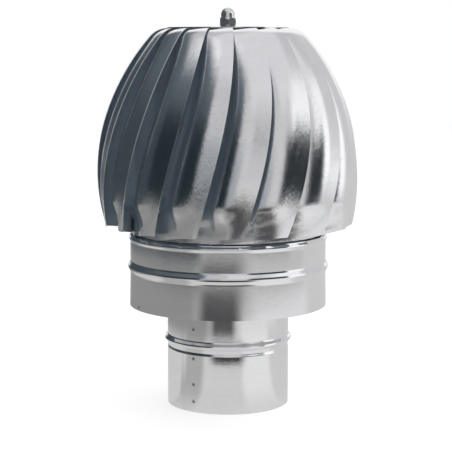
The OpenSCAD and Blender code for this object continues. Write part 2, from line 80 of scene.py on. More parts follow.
class Wiring:
    """Adds nodes to one node tree and joins them."""

    def __init__(self, tree: bpy.types.NodeTree) -> None:
        """Keeps the tree.

        Args:
            tree: Node tree to add to.
        """
        self.tree = tree

    def feed(self, node: bpy.types.Node, inputs: Dict[Union[str, int], Link]) -> bpy.types.Node:
        """Sets a node's inputs.

        Args:
            node: The node.
            inputs: Values or sockets for its inputs, by name or place.

        Returns:
            The same node.
        """
        for key, value in inputs.items():
            if isinstance(value, bpy.types.NodeSocket):
                self.tree.links.new(value, node.inputs[key])
            else:
                node.inputs[key].default_value = value
        return node

    def add(self, kind: str, inputs: Optional[Dict[Union[str, int], Link]] = None,
            **settings: object) -> bpy.types.Node:
        """Adds a node.

        Args:
            kind: Node type without its ShaderNode prefix.
            inputs: Values or sockets for its inputs, by name or place.
            settings: Properties of the node.

        Returns:
            The new node.
        """
        node = self.tree.nodes.new(kind if kind.startswith("Node") else "ShaderNode" + kind)
        for name, value in settings.items():
            setattr(node, name, value)
        return self.feed(node, inputs or {})

    def group(self, tree: bpy.types.NodeTree, **inputs: Link) -> bpy.types.Node:
        """Adds a group node.

        Args:
            tree: The group.
            inputs: Value or socket for each of its inputs.

        Returns:
            The new node.
        """
        return self.feed(self.add("Group", node_tree=tree), inputs)

    def math(self, operation: str, *values: Link, clamp: bool = False) -> bpy.types.NodeSocket:
        """Adds a Math node.

        Args:
            operation: Math operation.
            values: Its inputs in order.
            clamp: Whether the result is held from 0 to 1.

        Returns:
            Its output.
        """
        node = self.add("Math", dict(enumerate(values)), operation=operation, use_clamp=clamp)
        return node.outputs[0]

    def vector(self, operation: str, *values: Link) -> bpy.types.NodeSocket:
        """Adds a Vector Math node.

        Args:
            operation: Vector operation.
            values: Its inputs in order.

        Returns:
            Its vector output, or its number for LENGTH, DISTANCE and DOT_PRODUCT.
        """
        node = self.add("VectorMath", dict(enumerate(values)), operation=operation)
        number = operation in ("LENGTH", "DISTANCE", "DOT_PRODUCT")
        return node.outputs["Value" if number else "Vector"]

    def remap(self, value: Link, low: Link, high: Link, to_low: Link = 0.0, to_high: Link = 1.0,
              smooth: bool = True) -> bpy.types.NodeSocket:
        """Adds a Map Range node, held to its ends.

        Args:
            value: Number to map.
            low: Value that gives to_low.
            high: Value that gives to_high.
            to_low: Result at low.
            to_high: Result at high.
            smooth: Smooth step instead of a straight line.

        Returns:
            Its output.
        """
        inputs = {"Value": value, "From Min": low, "From Max": high, "To Min": to_low, "To Max": to_high}
        node = self.add("MapRange", inputs, interpolation_type="SMOOTHSTEP" if smooth else "LINEAR")
        return node.outputs["Result"]

    def mix(self, share: Link, first: Link, second: Link) -> bpy.types.NodeSocket:
        """Adds a colour Mix node.

        Args:
            share: Share of the second colour.
            first: First colour.
            second: Second colour.

        Returns:
            Its colour output.
        """
        first, second = (colour if isinstance(colour, bpy.types.NodeSocket) else (*colour, 1.0)
                         for colour in (first, second))
        return self.add("Mix", {0: share, 6: first, 7: second}, data_type="RGBA").outputs[2]

    def turn(self, x: Link, y: Link) -> bpy.types.NodeSocket:
        """Adds the angle round the axis: the arc tangent of x over minus y, in degrees.

        Args:
            x: Way towards +X.
            y: Way towards +Y.

        Returns:
            Its output.
        """
        return self.math("DEGREES", self.math("ARCTAN2", x, self.math("MULTIPLY", y, -1.0)))


class Effects:
    """Shader node groups that several finishes share, each built once.

    The values below are metres, noise cells to a metre (SCALE), or ratios to a group's own size. A pair
    (RANGE) says where in a noise, or at what ratio to the group's size, an effect starts and is whole.
    """

    CRYSTAL_WARP = 0.0012
    FINE_CRYSTALS = 3.1
    FINE_SHARE = 0.45
    BORDER_WIDTH = 0.06
    DRIFT = 0.06
    RUBS = 14.0
    RUB_HEIGHT = 0.22
    PATCH_RANGE = (0.52, 0.72)
    STREAK_RANGE = (0.58, 0.7)
    CHATTER_SCALE = 900.0
    WEAR_SCALE = 260.0
    WEAR_RANGE = (0.995, 0.9)
    BREAK_RANGE = (0.3, 0.6)
    LEAST_WEAR = 0.35
    WELD_SCALE = 700.0
    WELD_WANDER = 0.0016
    RING_IN_RANGE = (0.5, 0.85)
    RING_OUT_RANGE = (1.3, 0.95)
    BURN_RANGE = (1.0, 0.35)
    HAIR_RANGE = (1.4, 0.5)
    STITCH_PITCH = 0.0024
    STITCH_DEPTH = 0.35
    STEP_HALF = 0.0004
    SPECK_RANGE = (0.5, 0.68)

    def __init__(self) -> None:
        """Builds every group."""
        self.crystals = self._crystals()
        self.grain = self._grain()
        self.smudges = self._smudges()
        self.lathe = self._lathe()
        self.worn = self._worn()
        self.dimple = self._dimple()
        self.lap = self._lap()
        self.specks = self._specks()

    @staticmethod
    def _start(name: str, inputs: Dict[str, Optional[float]], *outputs: str) -> Tuple[
            bpy.types.NodeTree, Wiring, bpy.types.bpy_prop_collection, bpy.types.Node]:
        """Makes an empty group.

        Args:
            name: Name of the group.
            inputs: Starting value of each input, or None for a vector.
            outputs: Names of its number outputs.

        Returns:
            The tree, its wiring, the sockets that give the inputs, and the output node.
        """
        tree = bpy.data.node_groups.new(name, "ShaderNodeTree")
        for label, value in inputs.items():
            kind = "NodeSocketVector" if value is None else "NodeSocketFloat"
            socket = tree.interface.new_socket(label, in_out="INPUT", socket_type=kind)
            if value is not None:
                socket.default_value = value
        for label in outputs:
            tree.interface.new_socket(label, in_out="OUTPUT", socket_type="NodeSocketFloat")
        wiring = Wiring(tree)
        return tree, wiring, wiring.add("NodeGroupInput").outputs, wiring.add("NodeGroupOutput")

    def _crystals(self) -> bpy.types.NodeTree:
        """Frozen zinc crystals: a shade and a tilt to each cell, in two sizes, and the lines between."""
        tree, w, given, end = self._start(
            "zinc_crystals", {"Vector": None, "Size": 0.004, "Contrast": 0.5}, "Shade", "Border")
        tree.interface.new_socket("Tilt", in_out="OUTPUT", socket_type="NodeSocketVector")
        scale = w.math("DIVIDE", 1.0, given["Size"])
        warp = w.add("TexNoise", {"Vector": given["Vector"], "Scale": scale, "Detail": 1.0})
        bent = w.vector("MULTIPLY_ADD", warp.outputs["Color"], (self.CRYSTAL_WARP,) * 3, given["Vector"])
        large = w.add("TexVoronoi", {"Vector": bent, "Scale": scale, "Randomness": 1.0}, feature="F1")
        fine_scale = w.math("MULTIPLY", scale, self.FINE_CRYSTALS)
        fine = w.add("TexVoronoi", {"Vector": bent, "Scale": fine_scale}, feature="F1")
        one = w.add("SeparateColor", {"Color": large.outputs["Color"]}).outputs["Red"]
        two = w.add("SeparateColor", {"Color": fine.outputs["Color"]}).outputs["Green"]
        both = w.math("MULTIPLY_ADD", w.math("SUBTRACT", two, one), self.FINE_SHARE, one)
        spread = w.math("MULTIPLY", w.math("SUBTRACT", both, 0.5), given["Contrast"])
        border = w.add("TexVoronoi", {"Vector": bent, "Scale": scale}, feature="DISTANCE_TO_EDGE")
        sway = w.vector("ADD", large.outputs["Color"], fine.outputs["Color"])
        w.feed(end, {"Shade": w.math("ADD", spread, 0.5),
                     "Border": w.remap(border.outputs["Distance"], 0.0, self.BORDER_WIDTH, 1.0, 0.0),
                     "Tilt": w.vector("SUBTRACT", sway, (1.0, 1.0, 1.0))})
        return tree

    def _grain(self) -> bpy.types.NodeTree:
        """Rolling grain: fine noise drawn out level, across Z, with its slow drift."""
        tree, w, given, end = self._start(
            "rolled_grain", {"Vector": None, "Size": 0.001, "Stretch": 8.0}, "Grain", "Drift")
        inverse = w.math("DIVIDE", 1.0, given["Size"])
        drawn = w.math("DIVIDE", inverse, given["Stretch"])
        factors = w.add("CombineXYZ", {"X": drawn, "Y": drawn, "Z": inverse})
        place = w.vector("MULTIPLY", given["Vector"], factors.outputs["Vector"])
        fine = w.add("TexNoise", {"Vector": place, "Scale": 1.0, "Detail": 3.0, "Roughness": 0.6})
        slow = w.add("TexNoise", {"Vector": place, "Scale": self.DRIFT, "Detail": 2.0, "Roughness": 0.5})
        w.feed(end, {"Grain": fine.outputs["Fac"], "Drift": slow.outputs["Fac"]})
        return tree

    def _smudges(self) -> bpy.types.NodeTree:
        """Handling marks: soft patches and a few fine rubs."""
        tree, w, given, end = self._start(
            "handling_smudges", {"Vector": None, "Size": 0.04, "Amount": 0.5}, "Smudge", "Rub")
        scale = w.math("DIVIDE", 1.0, given["Size"])
        cloud = w.add("TexNoise", {"Vector": given["Vector"], "Scale": scale, "Detail": 4.0,
                                   "Roughness": 0.6, "Distortion": 0.6})
        patch = w.remap(cloud.outputs["Fac"], *self.PATCH_RANGE)
        rub_place = w.vector("MULTIPLY", given["Vector"], (1.0, 1.0, self.RUB_HEIGHT))
        rub_scale = w.math("MULTIPLY", scale, self.RUBS)
        rub = w.add("TexNoise", {"Vector": rub_place, "Scale": rub_scale, "Detail": 2.0, "Roughness": 0.7})
        streak = w.math("MULTIPLY", w.remap(rub.outputs["Fac"], *self.STREAK_RANGE), patch)
        w.feed(end, {"Smudge": w.math("MULTIPLY", patch, given["Amount"]),
                     "Rub": w.math("MULTIPLY", streak, given["Amount"])})
        return tree

    def _lathe(self) -> bpy.types.NodeTree:
        """Lathe marks: fine rings round Z, uneven in depth, on faces and on walls."""
        tree, w, given, end = self._start(
            "lathe_rings", {"Vector": None, "Pitch": 0.0006}, "Rings", "Chatter")
        flat = w.vector("MULTIPLY", given["Vector"], (1.0, 1.0, 0.0))
        radius = w.vector("LENGTH", flat)
        height = w.add("SeparateXYZ", {"Vector": given["Vector"]}).outputs["Z"]
        along = w.math("ADD", radius, height)
        turns = w.math("DIVIDE", w.math("MULTIPLY", along, 2.0 * math.pi), given["Pitch"])
        wave = w.math("MULTIPLY_ADD", w.math("SINE", turns), 0.5, 0.5)
        place = w.add("CombineXYZ", {"X": radius, "Y": height, "Z": 0.0})
        uneven = w.add("TexNoise", {"Vector": place.outputs["Vector"], "Scale": self.CHATTER_SCALE,
                                    "Detail": 3.0})
        w.feed(end, {"Rings": w.math("MULTIPLY", wave, uneven.outputs["Fac"]),
                     "Chatter": uneven.outputs["Fac"]})
        return tree

    def _worn(self) -> bpy.types.NodeTree:
        """Rubbed edges: where the rounded normal leaves the true one, broken up by noise."""
        tree, w, given, end = self._start(
            "rubbed_edges", {"Vector": None, "Width": 0.0008, "Amount": 0.7}, "Edge")
        bevel = w.add("Bevel", {"Radius": given["Width"]}, samples=4)
        true = w.add("NewGeometry")
        same = w.vector("DOT_PRODUCT", bevel.outputs["Normal"], true.outputs["Normal"])
        edge = w.remap(same, *self.WEAR_RANGE)
        patchy = w.add("TexNoise", {"Vector": given["Vector"], "Scale": self.WEAR_SCALE, "Detail": 3.0})
        broken = w.remap(patchy.outputs["Fac"], *self.BREAK_RANGE, self.LEAST_WEAR, 1.0)
        w.feed(end, {"Edge": w.math("MULTIPLY", w.math("MULTIPLY", edge, broken), given["Amount"])})
        return tree

    def _dimple(self) -> bpy.types.NodeTree:
        """A spot weld: a shallow ring with a burnt middle round one point."""
        tree, w, given, end = self._start(
            "spot_weld", {"Vector": None, "Centre": None, "Radius": 0.0025}, "Burn", "Ring")
        rough = w.add("TexNoise", {"Vector": given["Vector"], "Scale": self.WELD_SCALE, "Detail": 2.0})
        away = w.vector("DISTANCE", given["Vector"], given["Centre"])
        uneven = w.math("MULTIPLY_ADD", w.math("SUBTRACT", rough.outputs["Fac"], 0.5), self.WELD_WANDER,
                        away)
        share = w.math("DIVIDE", uneven, given["Radius"])
        ring = w.math("MULTIPLY", w.remap(share, *self.RING_IN_RANGE), w.remap(share, *self.RING_OUT_RANGE))
        w.feed(end, {"Burn": w.remap(share, *self.BURN_RANGE), "Ring": ring})
        return tree

    def _lap(self) -> bpy.types.NodeTree:
        """Edge of a lap seam: a hairline up the wall at one angle round Z, broken into short stitches."""
        tree, w, given, end = self._start(
            "lap_edge", {"Vector": None, "Angle": 0.0, "Width": 0.0004}, "Line", "Step")
        way = w.add("SeparateXYZ", {"Vector": given["Vector"]})
        x, y, z = (way.outputs[k] for k in "XYZ")
        turn = w.turn(x, y)
        flat = w.vector("MULTIPLY", given["Vector"], (1.0, 1.0, 0.0))
        past = w.math("RADIANS", w.math("SUBTRACT", turn, given["Angle"]))
        gap = w.math("MULTIPLY", past, w.vector("LENGTH", flat))
        share = w.math("DIVIDE", w.math("ABSOLUTE", gap), given["Width"])
        hair = w.remap(share, *self.HAIR_RANGE)
        beat = w.math("SINE", w.math("MULTIPLY", z, 2.0 * math.pi / self.STITCH_PITCH))
        stitch = w.math("MULTIPLY_ADD", beat, self.STITCH_DEPTH, 1.0 - self.STITCH_DEPTH)
        w.feed(end, {"Line": w.math("MULTIPLY", hair, stitch),
                     "Step": w.remap(gap, -self.STEP_HALF, self.STEP_HALF)})
        return tree

    def _specks(self) -> bpy.types.NodeTree:
        """Sandy specks: the dull peaks of an even, fine noise, and the orange peel under them."""
        tree, w, given, end = self._start("zinc_specks", {"Vector": None, "Size": 0.001}, "Speck", "Peel")
        scale = w.math("DIVIDE", 1.0, given["Size"])
        sand = w.add("TexNoise", {"Vector": given["Vector"], "Scale": scale, "Detail": 2.0,
                                  "Roughness": 0.65})
        w.feed(end, {"Speck": w.remap(sand.outputs["Fac"], *self.SPECK_RANGE), "Peel": sand.outputs["Fac"]})
        return tree


@dataclass(frozen=True)
class Weld:
    """One spot weld, by its angle round the axis, its height, the wall's radius there and its own."""

    angle: float
    height: float
    wall: float
    radius: float = 2.4 * MM

    def centre(self) -> Point:
        """Returns the weld's place: (radius sin angle, -radius cos angle, height)."""
        turn = math.radians(self.angle)
        return (self.wall * math.sin(turn), -self.wall * math.cos(turn), self.height)


@dataclass(frozen=True)
class SheetFinish:
    """Galvanised sheet: crystals, rolling grain, handling marks, rubbed edges and spot welds.

    Fields named shade say how far an effect moves the colour from dark to light, those named dull how
    much roughness it adds, and those named height its part of the bump's height.
    """

    name: str
    light: Colour = (0.93, 0.93, 0.935)
    dark: Colour = (0.83, 0.835, 0.845)
    coords: Coords = Coords.OBJECT
    crystal: float = 0.0032
    contrast: float = 0.6
    tilt: float = 0.02
    grain: float = 0.0009
    stretch: float = 9.0
    metal: float = 1.0
    roughness: float = 0.15
    rough_spread: float = 0.08
    bump_depth: float = 0.00002
    speck: float = 0.001
    dull: float = 0.08
    smudge: float = 0.5
    smudge_size: float = 0.045
    edge_width: float = 0.0006
    wear: float = 0.6
    welds: Tuple[Weld, ...] = ()
    lap_angle: Optional[float] = None
    grain_shade: float = 0.6
    drift_shade: float = 0.8
    smudge_shade: float = 0.35
    lap_shade: float = 0.6
    weld_shade: float = 0.8
    smudge_dull: float = 0.08
    rub_dull: float = 0.10
    lap_dull: float = 0.25
    weld_dull: float = 0.3
    border_height: float = -0.25
    peel_height: float = 1.2
    lap_height: float = 1.5
    weld_height: float = 2.5
    rubbed: Colour = (0.93, 0.93, 0.94)
    seam_shadow: Colour = (0.3, 0.29, 0.28)
    burnt: Colour = (0.16, 0.15, 0.15)

    def build(self, effects: Effects) -> bpy.types.Material:
        """Makes the material.

        Args:
            effects: The shared node groups.

        Returns:
            The finished material.
        """
        material, w, shader = start_material(self.name)
        place = w.add("TexCoord").outputs[self.coords.value]
        if self.coords is Coords.SHEET:
            upright = w.add("Mapping", {"Vector": place, "Rotation": (math.pi / 2.0, 0.0, 0.0)})
            place = upright.outputs["Vector"]
        crystals = w.group(effects.crystals, Vector=place, Size=self.crystal, Contrast=self.contrast)
        grain = w.group(effects.grain, Vector=place, Size=self.grain, Stretch=self.stretch)
        smudges = w.group(effects.smudges, Vector=place, Size=self.smudge_size, Amount=self.smudge)
        worn = w.group(effects.worn, Vector=place, Width=self.edge_width, Amount=self.wear)
        fine = w.math("SUBTRACT", grain.outputs["Grain"], 0.5)
        drift = w.math("SUBTRACT", grain.outputs["Drift"], 0.5)
        shade = w.math("MULTIPLY_ADD", fine, self.grain_shade, crystals.outputs["Shade"])
        shade = w.math("MULTIPLY_ADD", drift, self.drift_shade, shade, clamp=True)
        colour = w.mix(shade, self.dark, self.light)
        colour = w.mix(w.math("MULTIPLY", smudges.outputs["Smudge"], self.smudge_shade), colour, self.dark)
        colour = w.mix(worn.outputs["Edge"], colour, self.rubbed)
        rough = w.math("MULTIPLY_ADD", w.math("SUBTRACT", shade, 0.5), -self.rough_spread, self.roughness)
        rough = w.math("MULTIPLY_ADD", smudges.outputs["Smudge"], self.smudge_dull, rough)
        rough = w.math("MULTIPLY_ADD", smudges.outputs["Rub"], self.rub_dull, rough)
        specks = w.group(effects.specks, Vector=place, Size=self.speck)
        metal = w.math("MULTIPLY_ADD", specks.outputs["Speck"], -self.dull * self.metal, self.metal)
        w.tree.links.new(metal, shader.inputs["Metallic"])
        height = w.math("MULTIPLY_ADD", crystals.outputs["Border"], self.border_height, fine)
        height = w.math("MULTIPLY_ADD", specks.outputs["Peel"], self.peel_height, height)
        if self.lap_angle is not None:
            lap = w.group(effects.lap, Vector=place, Angle=self.lap_angle)
            line = lap.outputs["Line"]
            colour = w.mix(w.math("MULTIPLY", line, self.lap_shade), colour, self.seam_shadow)
            rough = w.math("MULTIPLY_ADD", line, self.lap_dull, rough)
            height = w.math("MULTIPLY_ADD", lap.outputs["Step"], self.lap_height, height)
        for weld in self.welds:
            spot = w.group(effects.dimple, Vector=place, Centre=weld.centre(), Radius=weld.radius)
            burn = spot.outputs["Burn"]
            colour = w.mix(w.math("MULTIPLY", burn, self.weld_shade), colour, self.burnt)
            rough = w.math("MULTIPLY_ADD", burn, self.weld_dull, rough)
            height = w.math("MULTIPLY_ADD", spot.outputs["Ring"], self.weld_height, height)
        true = w.add("NewGeometry").outputs["Normal"]
        lean = w.vector("SCALE", crystals.outputs["Tilt"])
        lean.node.inputs["Scale"].default_value = self.tilt
        facet = w.vector("NORMALIZE", w.vector("ADD", true, lean))
        bump = w.add("Bump", {"Strength": 1.0, "Distance": self.bump_depth, "Height": height,
                              "Normal": facet})
        finish_material(w, shader, colour, rough, bump)
        return material


@dataclass(frozen=True)
class TurnedFinish:
    """Machined metal: lathe rings, a little chatter and rubbed edges."""

    name: str
    light: Colour
    dark: Colour
    metal: float = 1.0
    roughness: float = 0.22
    pitch: float = 0.0007
    bump_depth: float = 0.00003
    bump_strength: float = 0.4
    smudge: float = 0.6
    smudge_size: float = 0.018
    smudge_shade: float = 0.4
    rough_spread: float = 0.12
    edge_width: float = 0.0008
    wear: float = 0.8
    rubbed: Colour = (0.92, 0.92, 0.93)

    def build(self, effects: Effects) -> bpy.types.Material:
        """Makes the material.

        Args:
            effects: The shared node groups.

        Returns:
            The finished material.
        """
        material, w, shader = start_material(self.name, metal=self.metal)
        place = w.add("TexCoord").outputs["Object"]
        rings = w.group(effects.lathe, Vector=place, Pitch=self.pitch)
        smudges = w.group(effects.smudges, Vector=place, Size=self.smudge_size, Amount=self.smudge)
        worn = w.group(effects.worn, Vector=place, Width=self.edge_width, Amount=self.wear)
        colour = w.mix(rings.outputs["Rings"], self.dark, self.light)
        colour = w.mix(w.math("MULTIPLY", smudges.outputs["Smudge"], self.smudge_shade), colour, self.dark)
        colour = w.mix(worn.outputs["Edge"], colour, self.rubbed)
        rough = w.math("MULTIPLY_ADD", rings.outputs["Chatter"], self.rough_spread,
                       self.roughness - self.rough_spread / 2.0)
        rough = w.math("MULTIPLY_ADD", smudges.outputs["Smudge"], self.rough_spread, rough)
        bump = w.add("Bump", {"Strength": self.bump_strength, "Distance": self.bump_depth,
                              "Height": rings.outputs["Rings"]})
        finish_material(w, shader, colour, rough, bump)
        return material


@dataclass(frozen=True)
class RubberFinish:
    """Moulded black rubber: fine pores and a dull bloom."""

    name: str
    light: Colour = (0.045, 0.045, 0.048)
    dark: Colour = (0.012, 0.012, 0.013)
    bloom: Colour = (0.09, 0.09, 0.09)
    roughness: float = 0.55
    rough_spread: float = 0.2
    pore: float = 0.0004
    pore_depth: float = 0.0001
    bump_strength: float = 0.4
    smudge: float = 0.8
    smudge_size: float = 0.004
    smudge_shade: float = 0.5

    def build(self, effects: Effects) -> bpy.types.Material:
        """Makes the material.

        Args:
            effects: The shared node groups.

        Returns:
            The finished material.
        """
        material, w, shader = start_material(self.name, metal=0.0)
        place = w.add("TexCoord").outputs["Object"]
        grain = w.group(effects.grain, Vector=place, Size=self.pore, Stretch=1.0).outputs["Grain"]
        smudges = w.group(effects.smudges, Vector=place, Size=self.smudge_size, Amount=self.smudge)
        colour = w.mix(grain, self.dark, self.light)
        colour = w.mix(w.math("MULTIPLY", smudges.outputs["Smudge"], self.smudge_shade), colour, self.bloom)
        rough = w.math("MULTIPLY_ADD", grain, self.rough_spread, self.roughness)
        bump = w.add("Bump", {"Strength": self.bump_strength, "Distance": self.pore_depth, "Height": grain})
        finish_material(w, shader, colour, rough, bump)
        return material


def start_material(name: str, metal: float = 1.0) -> Tuple[bpy.types.Material, Wiring, bpy.types.Node]:
    """Makes an empty material with a Principled shader.

    Args:
        name: The material's name.
        metal: Share of bare metal: 1 for clean metal, less under a pale coat, 0 for none.

    Returns:
        The material, its wiring and its shader.
    """
    material = bpy.data.materials.new(name)
    material.use_nodes = True
    material.node_tree.nodes.clear()
    wiring = Wiring(material.node_tree)
    shader = wiring.add("BsdfPrincipled", {"Metallic": metal})
    wiring.add("OutputMaterial", {"Surface": shader.outputs["BSDF"]})
    return material, wiring, shader


def finish_material(w: Wiring, shader: bpy.types.Node, colour: Link, rough: Link,
                    bump: bpy.types.Node) -> None:
    """Joins colour, roughness and bump to the shader.

    Args:
        w: Wiring of the material.
        shader: Its Principled shader.
        colour: Base colour.
        rough: Roughness before it is held to a fair range.
        bump: Bump node.
    """
    held = w.remap(rough, SMOOTHEST, ROUGHEST, SMOOTHEST, ROUGHEST, smooth=False)
    w.feed(shader, {"Base Color": colour, "Roughness": held, "Normal": bump.outputs["Normal"]})


# Surfaces


def ease(t: np.ndarray) -> np.ndarray:
    """Returns 3 t squared minus 2 t cubed, with t held from 0 to 1."""
    c = np.clip(t, 0.0, 1.0)
    return c * c * (3.0 - 2.0 * c)


def between(a: np.ndarray, b: np.ndarray, t: np.ndarray) -> np.ndarray:
    """Returns a plus t times the difference of b and a."""
    return a + (b - a) * t


@dataclass(frozen=True)
class VaneForm:
    """One vane's middle surface and sheet, in metres and degrees, as in the CAD source.

    u goes from the free edge, 0, to the edge inside, 1. v goes from the foot, 0, to the tab on top, 1.
    """

    sheet: float = 0.6 * MM
    foot_z: float = 177.5 * MM
    corner_z: float = 186.5 * MM
    belly_z: float = 236.0 * MM
    belly_r: float = 133.0 * MM
    outline_r: float = 212.0 * MM
    shoulder_angle: float = 41.4
    shoulder_r: float = 23.0 * MM
    tab_z: float = 383.98 * MM
    tab_r: float = 48.0 * MM
    twist_low: float = -13.5
    twist_high: float = 4.0
    twist_power: float = 1.55
    margin_w: float = 15.0 * MM
    margin_lean: float = 8.0
    scoop_r: float = 36.0 * MM
    wrap_angle: float = 40.0
    wrap_r: float = 98.0 * MM
    run_in: float = 0.85
    wrap_rise: float = 30.0 * MM
    corner_rise: float = 9.0 * MM
    close_drop: float = 96.0 * MM
    top_tuck: float = 2.0 * MM

    @property
    def outline_mid_r(self) -> float:
        """Radius of the outline arc's centre."""
        return self.belly_r - self.outline_r

    @property
    def arc_start(self) -> float:
        """Angle of the outline arc at the foot."""
        return math.degrees(math.asin((self.foot_z - self.belly_z) / self.outline_r))

    @property
    def arc_len(self) -> float:
        """Length of the outline arc, from the foot to the shoulder."""
        return self.outline_r * math.radians(self.shoulder_angle - self.arc_start)

    @property
    def shoulder_len(self) -> float:
        """Length of the shoulder's bend."""
        return self.shoulder_r * math.radians(90.0 - self.shoulder_angle)

    @property
    def shoulder_mid(self) -> Tuple[float, float]:
        """Centre of the shoulder's bend: it touches the arc and ends level at the tab."""
        reach = self.outline_r - self.shoulder_r
        turn = math.radians(self.shoulder_angle)
        return (self.outline_mid_r + reach * math.cos(turn), self.belly_z + reach * math.sin(turn))

    @property
    def path_len(self) -> float:
        """Length of the whole outline, from the foot to the tab's end."""
        return self.arc_len + self.shoulder_len + self.shoulder_mid[0] - self.tab_r

    @property
    def corner_len(self) -> float:
        """How far up the outline the free edge starts."""
        corner = math.degrees(math.asin((self.corner_z - self.belly_z) / self.outline_r))
        return self.outline_r * math.radians(corner - self.arc_start)

    def outline(self, s: np.ndarray) -> Tuple[np.ndarray, np.ndarray, np.ndarray]:
        """Barrel outline: a large arc, then a small arc over the shoulder, then a level line inwards.

        Args:
            s: Length along the outline.

        Returns:
            Radius, height and slope angle at each length.
        """
        mid_r, mid_z = self.shoulder_mid
        arc = self.arc_start + np.degrees(s / self.outline_r)
        bend = self.shoulder_angle + np.degrees((s - self.arc_len) / self.shoulder_r)
        level = mid_r - (s - self.arc_len - self.shoulder_len)
        on_arc = s <= self.arc_len
        on_bend = s <= self.arc_len + self.shoulder_len
        arc_rad, bend_rad = np.radians(arc), np.radians(bend)
        radius = np.where(on_arc, self.outline_mid_r + self.outline_r * np.cos(arc_rad),
                          np.where(on_bend, mid_r + self.shoulder_r * np.cos(bend_rad), level))
        height = np.where(on_arc, self.belly_z + self.outline_r * np.sin(arc_rad),
                          np.where(on_bend, mid_z + self.shoulder_r * np.sin(bend_rad), self.tab_z))
        return radius, height, np.where(on_arc, arc, np.where(on_bend, bend, 90.0))

    def scoop(self, u: np.ndarray) -> Tuple[np.ndarray, np.ndarray]:
        """Scoop at the belly: a straight margin that leans in, then an arc that turns to face sideways.

        Across is the margin's length, then plus the arc's radius times the gain in sine. Down is the
        same with the loss in cosine. Both are then read as a radius and an angle round the axis.

        Args:
            u: Share across the vane.

        Returns:
            Depth behind the outline, and angle behind the free edge.
        """
        lean = math.radians(self.margin_lean)
        arc_len = self.scoop_r * (math.pi / 2.0 - lean)
        s = u * (self.margin_w + arc_len)
        margin = np.minimum(s, self.margin_w)
        a = lean + np.maximum(s - self.margin_w, 0.0) / self.scoop_r
        across = margin * math.cos(lean) + self.scoop_r * (np.sin(a) - math.sin(lean))
        down = margin * math.sin(lean) + self.scoop_r * (math.cos(lean) - np.cos(a))
        left = self.belly_r - down
        return self.belly_r - np.hypot(left, across), np.degrees(np.arctan2(across, left))

    def middle(self, u: np.ndarray, v: np.ndarray) -> np.ndarray:
        """Middle surface: the outline, twisted with height, hollowed behind the free edge.

        The depth behind the outline is the scoop's, closing at the top, and near the foot it runs to the
        ring's radius instead. The angle turns back with u by the scoop's angle, evenly at the top, or by
        the wrap's angle near the foot. Depth is taken at right angles to the slope.

        Args:
            u: Share across the vane.
            v: Share along the vane.

        Returns:
            Points, with x, y and z in the last axis.
        """
        low = self.corner_len * (1.0 - ease(u / self.run_in))
        radius, height, slope = self.outline(between(low, self.path_len, v))
        wrap = 1.0 - ease((height - self.foot_z - self.corner_rise) / self.wrap_rise)
        closing = np.sin(np.radians(90.0 * np.clip((self.tab_z - height) / self.close_drop, 0.0, 1.0)))
        depth_in, angle_in = self.scoop(u)
        whole_angle = self.scoop(np.array(1.0))[1]
        mid_depth = depth_in * closing + self.top_tuck * ease(u) * (1.0 - closing)
        mid_turn = between(whole_angle * u, angle_in, closing)
        low_depth = (radius - self.wrap_r) * ease(u / self.run_in)
        depth = between(mid_depth, low_depth, wrap)
        turn = np.radians(self.twist(height) - between(mid_turn, self.wrap_angle * u, wrap))
        lean = np.radians(np.maximum(slope, 0.0) * (1.0 - wrap))
        r = radius - depth * np.cos(lean)
        return np.stack([r * np.sin(turn), -r * np.cos(turn), height - depth * np.sin(lean)], axis=-1)

    def twist(self, z: np.ndarray) -> np.ndarray:
        """Returns the free edge's angle: from low to high by one minus a power of the height left."""
        share = np.clip((z - self.corner_z) / (self.tab_z - self.corner_z), 0.0, 1.0)
        return between(self.twist_low, self.twist_high, 1.0 - (1.0 - share) ** self.twist_power)


@dataclass(frozen=True)
class VaneGrid:
    """How finely a vane is drawn and its slope taken, and where its sheet lies in its UV map, in metres."""

    across: int = 44
    along: int = 90
    step: float = 0.002
    flat_width: float = 0.075
    flat_gap: float = 0.31


